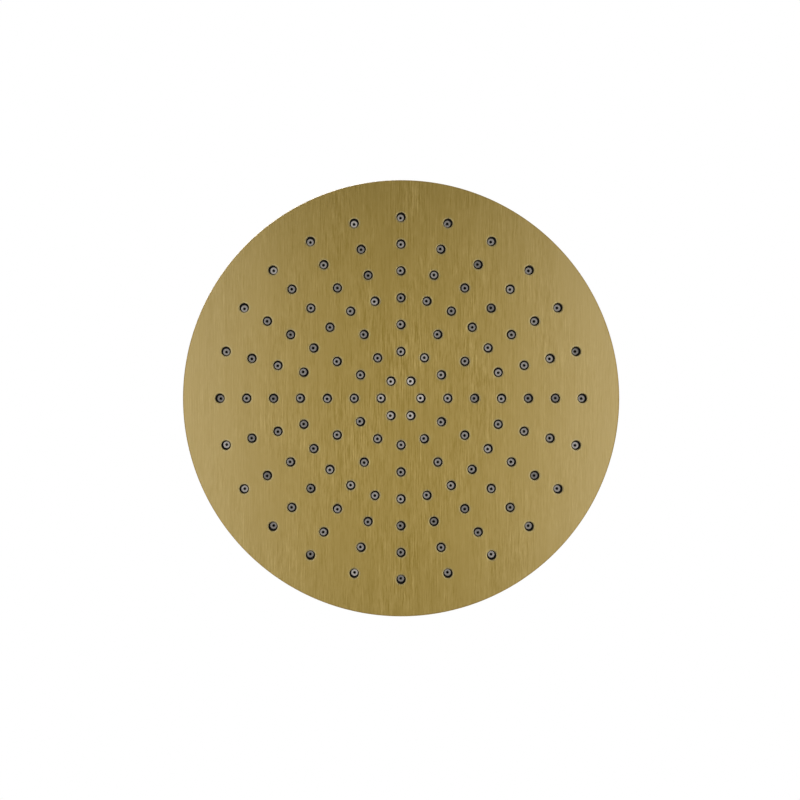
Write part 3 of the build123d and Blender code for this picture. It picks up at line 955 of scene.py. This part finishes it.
@dataclass
class Collar:
    """What clamps the swivel: the fluted collar over the ball, and the thin locknut under it."""

    ball_z: float
    cavity: float = 13.22
    lip: float = 1.8
    thread_bore: float = 15.52
    split: float = 0.4
    edge: float = 0.8
    soften: float = 0.25
    flutes: int = 30
    flute_points: int = 12
    flute_radius: float = 1.1
    flute_depth: float = 0.5
    flute_margin: float = 1.6
    flute_runout: float = 0.7
    runout_share: float = 0.75  # of the flutes' depth, halfway along their run-out
    cavity_steps: int = 8
    edge_steps: int = 5
    nut_edge: float = 0.6
    nut_soften: float = 0.12
    nut_land: float = 0.2  # from the flats in to the edge of the nut's top
    nut_points: int = 192
    corner_cut: float = 0.25

    def fluted(self, radius: float, height: float, share: float) -> Outline:
        """Outline of the collar's outside with its flutes.

        Args:
            radius: the collar's radius.
            height: height of the outline.
            share: share of their depth that the flutes are cut to.

        Returns:
            The outline.
        """
        pitch = math.tau / self.flutes

        def outline(angle: float) -> Pair:
            """Follows the flutes.

            Args:
                angle: direction in radians.

            Returns:
                Radius and height in that direction.
            """
            aside = radius * ((angle + pitch / 2) % pitch - pitch / 2)
            below = math.sqrt(max(self.flute_radius**2 - aside**2, 0.0))
            cut = below - self.flute_radius + self.flute_depth
            return radius - share * max(cut, 0.0), height

        return outline

    def build_collar(self) -> Piece:
        """Draws the collar.

        Returns:
            The finished piece.
        """
        low, high = node_box("collar_nut")
        outside, bottom, top = high.x, low.z, high.z
        draft = Draft(self.flutes * self.flute_points)
        lip_angle = math.degrees(math.acos((top - self.lip - self.ball_z) / self.cavity))
        mouth = (top - self.ball_z) * math.tan(math.radians(lip_angle))
        cavity = arc((0.0, self.ball_z), self.cavity, 0, 90 - lip_angle, self.cavity_steps)
        neck = self.ball_z - self.split
        first, last = bottom + self.flute_margin, top - self.edge - self.flute_margin
        bore, soft = self.thread_bore, self.soften
        inner = [(bore, bottom + soft), (bore, neck), (self.cavity, neck), *cavity]
        upper = [(mouth - soft, top - soft), (mouth + soft, top), (outside - self.edge - soft, top)]
        upper += arc((outside - self.edge, top - self.edge), self.edge, 90, 0, self.edge_steps)[1:]
        loops = draft.circles(inner + upper)
        for height, share in (
            (last, 0.0),
            (last - self.flute_runout / 2, self.runout_share),
            (last - self.flute_runout, 1.0),
            (first + self.flute_runout, 1.0),
            (first + self.flute_runout / 2, self.runout_share),
            (first, 0.0),
        ):
            loops.append(draft.ring(self.fluted(outside, height, share)))
        base = [(outside, bottom + 2 * soft), (outside - soft, bottom), (bore + soft, bottom)]
        loops += draft.circles(base)
        draft.bridge(loops + loops[:1])
        return draft.make("fluted_collar", [TURNED_BRASS.build()])

    def build_locknut(self) -> Piece:
        """Draws the locknut.

        Returns:
            The finished piece.
        """
        low, high = node_box("neck_locknut")
        width, bottom, top = 2 * high.y, low.z, high.z
        cut, soft, bore = self.nut_soften, self.soften, self.thread_bore
        slope = chamfer_slope(width, self.nut_edge)
        draft = Draft(self.nut_points)
        loops = [draft.circle(bore + soft, bottom)]
        loops.append(draft.ring(hexagon_outline(width, self.corner_cut, bottom, inset=cut)))
        loops.append(draft.ring(hexagon_outline(width, self.corner_cut, bottom + cut)))
        loops.append(draft.ring(hexagon_outline(width, self.corner_cut, top - cut, -slope)))
        upper = [(width / 2 - self.nut_land, top), (bore + soft, top)]
        loops += draft.circles(upper + [(bore, top - soft), (bore, bottom + soft)])
        draft.bridge(loops + loops[:1])
        return draft.make("thin_locknut", [TURNED_BRASS.build()])

    def dress(self) -> None:
        """Builds both pieces in the place of their frame nodes."""
        settle(self.build_collar(), Body.HEAD, "collar_nut")
        settle(self.build_locknut(), Body.HEAD, "neck_locknut")


@dataclass
class SwivelInlet:
    """The inlet fitting, with its pipe thread, hexagon, stem and ball, and the gauze in its mouth."""

    ball_z: float
    ball: float = 11.5
    stem: float = 6.5
    waterway: float = 4.5
    bore: float = 10.5
    bore_depth: float = 12.5
    recess: float = 9.8
    recess_depth: float = 2.5
    pocket: float = 7.6
    pocket_depth: float = 6.0
    shoulder: float = 9.6
    edge: float = 1.0
    soften: float = 0.3
    corner_cut: float = 0.2
    hex_soften: float = 0.15
    hex_land: float = 0.25  # from the flats in to the edge of the hexagon's ends
    ball_steps: int = 28
    thread_pitch: float = 1.814
    thread_depth: float = 1.1
    thread_rows: int = 12
    thread_start: float = 0.7
    flank_share: float = 0.25  # of the pitch, for each flank of the thread
    flank_foot: float = 0.4375  # where a flank ends, in pitches from the middle of the crest
    around: int = 144
    gauze_pitch: float = 1.6
    gauze_wire: float = 0.14
    gauze_bore: float = 6.5
    gauze_rim: float = 0.5  # how far the rim reaches in from the bore
    gauze_tuck: float = 0.2  # how far short of the bore the wires end, inside the rim
    gauze_steps: int = 12
    gauze_sides: int = 6
    gauze_points: int = 96

    def threaded(self, height: float) -> Outline:
        """Outline of the pipe thread, a helix whose crests fade out at both ends.

        Args:
            height: height of the outline.

        Returns:
            The outline.
        """
        ends = min(-height - self.thread_start, height + self.bore_depth) / self.thread_pitch
        fade = min(1.0, max(0.0, ends))

        def outline(angle: float) -> Pair:
            """Follows the thread.

            Args:
                angle: direction in radians.

            Returns:
                Radius and height in that direction.
            """
            turn = (height / self.thread_pitch - angle / math.tau) % 1.0
            crest = min(1.0, max(0.0, (self.flank_foot - abs(turn - 0.5)) / self.flank_share))
            return self.bore - fade * self.thread_depth * crest, height

        return outline

    def build_fitting(self) -> Piece:
        """Draws the fitting.

        Returns:
            The finished piece.
        """
        width = 2 * node_box("swivel_ball")[1].y
        land, soft = width / 2 - self.hex_land, self.soften
        ledge = -self.bore_depth - self.recess_depth
        floor = ledge - self.pocket_depth
        slope = chamfer_slope(width, self.edge)
        draft = Draft(self.around)
        loops = [draft.circle(land, 0.0)]
        loops.append(draft.ring(hexagon_outline(width, self.corner_cut, -self.hex_soften, -slope)))
        loops.append(draft.ring(hexagon_outline(width, self.corner_cut, ledge + self.hex_soften, slope)))
        stem_top = floor - (self.shoulder - self.stem)
        stem_angle = 90 - math.degrees(math.asin(self.stem / self.ball))
        mouth_angle = -math.degrees(math.acos(self.waterway / self.ball))
        outside = [(land, ledge), (self.shoulder + soft, floor + soft)]
        outside.append((self.shoulder - soft, floor - soft))
        outside += [(self.stem + soft, stem_top + soft), (self.stem, stem_top - soft)]
        outside += arc((0.0, self.ball_z), self.ball, stem_angle, mouth_angle, self.ball_steps)
        inside = [
            (self.waterway, floor),
            (self.pocket, floor),
            (self.pocket, ledge),
            (self.recess, ledge),
            (self.recess, -self.bore_depth),
            (self.bore, -self.bore_depth),
        ]
        loops += draft.circles(outside + inside)
        rows = round(self.bore_depth / self.thread_pitch * self.thread_rows)
        depth = self.bore_depth - self.thread_start
        for row in range(1, rows + 1):
            loops.append(draft.ring(self.threaded(-self.bore_depth + depth * row / rows)))
        loops.append(draft.circle(self.bore + self.thread_start, 0.0))
        draft.bridge(loops + loops[:1])
        return draft.make("inlet_fitting", [TURNED_BRASS.build()])

    def build_gauze(self) -> Piece:
        """Draws the woven gauze with its pressed rim.

        Returns:
            The finished piece.
        """
        low, high = node_box("inlet_strainer")
        middle, half = (low.z + high.z) / 2, (high.z - low.z) / 2
        draft = Draft(self.gauze_points)
        rim_inside, rim_outside = self.gauze_bore - self.gauze_rim, high.x
        rim = [(rim_inside, middle - half), (rim_outside, middle - half)]
        rim += [(rim_outside, middle + half), (rim_inside, middle + half)]
        draft.lathe(rim, closed=True)
        count = int(self.gauze_bore / self.gauze_pitch * 2)
        for line in range(-count, count + 1):
            offset = line * self.gauze_pitch / 2
            reach = math.sqrt(max((self.gauze_bore - self.gauze_tuck) ** 2 - offset**2, 0.0))
            if reach < self.gauze_pitch:
                continue
            steps = round(reach * 2 / self.gauze_pitch * self.gauze_steps)
            for crosswise in (False, True):
                path = []
                for step in range(steps + 1):
                    along = -reach + 2 * reach * step / steps
                    phase = math.tau * along / self.gauze_pitch + math.pi * line
                    if crosswise:
                        phase += math.pi
                    height = middle + self.gauze_wire * math.sin(phase + math.pi / 2)
                    spot = (offset, along, height) if crosswise else (along, offset, height)
                    path.append(Vector(spot))
                draft.tube(path, self.gauze_wire, self.gauze_sides)
        return draft.make("woven_strainer", [STEEL_WIRE.build()])

    def dress(self) -> None:
        """Builds both pieces in the place of their frame nodes."""
        settle(self.build_fitting(), Body.INLET, "swivel_ball")
        settle(self.build_gauze(), Body.INLET, "inlet_strainer")


@dataclass
class FramePieces:
    """Pieces whose frame shape is already right and only need their finish."""

    finishes: dict[str, BrushedMetal | Moulded] = field(
        default_factory=lambda: {
            "back_cover": BRUSHED_SHEET,
            "face_standoffs": TURNED_STEEL,
            "mat_clamp_ring": GREY_ABS,
            "chamber_seal": BLACK_RUBBER,
            "inlet_neck": PLAIN_BRASS,
            "neck_gasket": BLACK_RUBBER,
            "ball_seat": BLACK_RUBBER,
            "slip_ring": WHITE_ACETAL,
            "inlet_washer": BLACK_RUBBER,
            "flow_regulator": WHITE_ACETAL,
            "regulator_ring": GREEN_RUBBER,
        }
    )

    def dress(self) -> None:
        """Gives each node its finish."""
        built: dict[str, Material] = {}
        for node, finish in self.finishes.items():
            if finish.name not in built:
                built[finish.name] = finish.build()
            frame["nodes"][node].material_slots[0].material = built[finish.name]
            log.info("%s finished in %s", node, finish.name)


@dataclass(frozen=True)
class SoftBox:
    """One soft studio light, its height laid along Y, in metres and watts."""

    name: str
    place: tuple[float, float, float]
    aim: tuple[float, float, float]
    width: float
    height: float
    power: float

    def build(self) -> None:
        """Adds the light."""
        light = bpy.data.lights.new(self.name, "AREA")
        light.shape = "RECTANGLE"
        light.size = self.width
        light.size_y = self.height
        light.energy = self.power
        lamp = bpy.data.objects.new(self.name, light)
        lamp.location = self.place
        back = (Vector(self.place) - Vector(self.aim)).normalized()
        side = Vector((0.0, 1.0, 0.0)).cross(back).normalized()
        lamp.rotation_euler = Matrix((side, back.cross(side), back)).transposed().to_euler()
        lamp.visible_camera = False
        bpy.context.scene.collection.objects.link(lamp)


@dataclass
class Studio:
    """Pale floor, soft light and the camera under the head, in metres and watts."""

    camera_distance: float = 0.75
    floor_drop: float = 2.1
    floor_size: float = 60.0
    image_px: float = 800.0
    disc_centre_px: Pair = (401.1, 398.25)  # where the picture shows the face
    disc_radius_px: float = 218.3
    sensor_mm: float = 36.0
    overhead: float = 0.55
    overhead_from: float = 0.8  # sine of the elevation where it is as dim as overhead
    horizon: float = 1.0
    floor_wash: float = 1.5
    card_drop: float = 0.95
    card_size: float = 1.7
    side_reach: float = 0.315
    side_drop: float = 0.75
    side_size: Pair = (0.25, 0.72)
    side_shifts: Pair = (0.06, 0.05)  # of the two boxes, along the face
    side_powers: Pair = (1.68, 1.8)
    top_place: tuple[float, float, float] = (-0.6, -0.8, 1.3)
    top_size: Pair = (1.0, 1.0)
    top_power: float = 30.0

    def build(self) -> None:
        """Adds floor, light and camera."""
        low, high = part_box("face_plate")
        self.build_plane("floor", low.z - self.floor_drop, self.floor_size, FLOOR_PAINT)
        card = self.build_plane("grey_card", low.z - self.card_drop, self.card_size, GREY_CARD)
        card.visible_camera = False
        card.visible_shadow = False
        self.build_world()
        face = (0.0, 0.0, low.z)
        for side, shift, power in zip((-1.0, 1.0), self.side_shifts, self.side_powers):
            place = (side * self.side_reach, shift, low.z - self.side_drop)
            SoftBox(f"side_box_{side:+.0f}", place, face, *self.side_size, power).build()
        SoftBox("top_box", self.top_place, (0.0, 0.0, 0.0), *self.top_size, self.top_power).build()
        self.build_wash()
        self.build_camera(low.z, high.x)
        bpy.context.scene.view_settings.view_transform = "Standard"

    def build_plane(self, name: str, height: float, size: float, finish: Moulded) -> Piece:
        """Adds a level square that belongs to the studio.

        Args:
            name: its name.
            height: its height in metres.
            size: its width in metres.
            finish: its finish.

        Returns:
            The new object.
        """
        half = size / 2
        mesh = bpy.data.meshes.new(name)
        corners = ((-half, -half), (half, -half), (half, half), (-half, half))
        mesh.from_pydata([(x, y, height) for x, y in corners], [], [(0, 1, 2, 3)])
        mesh.materials.append(finish.build())
        plane = bpy.data.objects.new(name, mesh)
        bpy.context.scene.collection.objects.link(plane)
        return plane

    def build_wash(self) -> None:
        """Adds a broad light from above that keeps the floor pale and isn't mirrored by the metal."""
        light = bpy.data.lights.new("floor_wash", "SUN")
        light.energy = self.floor_wash
        light.angle = math.pi / 2
        lamp = bpy.data.objects.new("floor_wash", light)
        lamp.visible_glossy = False
        bpy.context.scene.collection.objects.link(lamp)

    def build_world(self) -> None:
        """Adds the surroundings: white to look at, but dimmer overhead for the object."""
        world = bpy.data.worlds.new("studio")
        world.use_nodes = True
        bpy.context.scene.world = world
        tree = world.node_tree
        place = add_node(tree, "ShaderNodeTexCoord", {}, "Generated")
        level = add_node(tree, "ShaderNodeSeparateXYZ", {0: place}, "Z")
        sky = {"Value": level, "From Max": self.overhead_from}
        sky |= {"To Min": self.horizon, "To Max": self.overhead}
        glow = add_node(tree, "ShaderNodeMapRange", sky, interpolation_type="SMOOTHSTEP")
        seen = add_node(tree, "ShaderNodeLightPath", {}, "Is Camera Ray")
        strength = add_node(tree, "ShaderNodeMix", {MIX_SHARE: seen, MIX_A: glow, MIX_B: 1.0})
        feed(tree, tree.nodes["Background"], {"Color": (1.0, 1.0, 1.0, 1.0), "Strength": strength})

    def build_camera(self, face_z: float, radius: float) -> None:
        """Adds the camera straight below the face.

        Args:
            face_z: height of the spray face in metres.
            radius: the head's radius in metres.
        """
        data = bpy.data.cameras.new("camera")
        half_image = radius * self.image_px / 2 / self.disc_radius_px
        data.sensor_width = self.sensor_mm
        data.lens = self.sensor_mm / 2 * self.camera_distance / half_image
        camera = bpy.data.objects.new("camera", data)
        per_px = radius / self.disc_radius_px
        aside = (self.image_px / 2 - self.disc_centre_px[0]) * per_px
        along = (self.image_px / 2 - self.disc_centre_px[1]) * per_px
        camera.location = (aside, along, face_z - self.camera_distance)
        camera.rotation_euler = (math.pi, 0.0, 0.0)
        bpy.context.scene.collection.objects.link(camera)
        bpy.context.scene.camera = camera


def main() -> None:
    """Builds and dresses the sub-assemblies in order."""
    logging.basicConfig(level=logging.INFO, format="%(message)s")
    ball_z = frame["joints"][0]["pos_m"][2] / MM
    pattern = NozzlePattern()
    SprayFace(pattern).dress()
    NozzleMat(pattern).dress()
    CoverScrews().dress()
    Collar(ball_z).dress()
    SwivelInlet(ball_z).dress()
    FramePieces().dress()
    Studio().build()


if __name__ == "__main__":
    main()
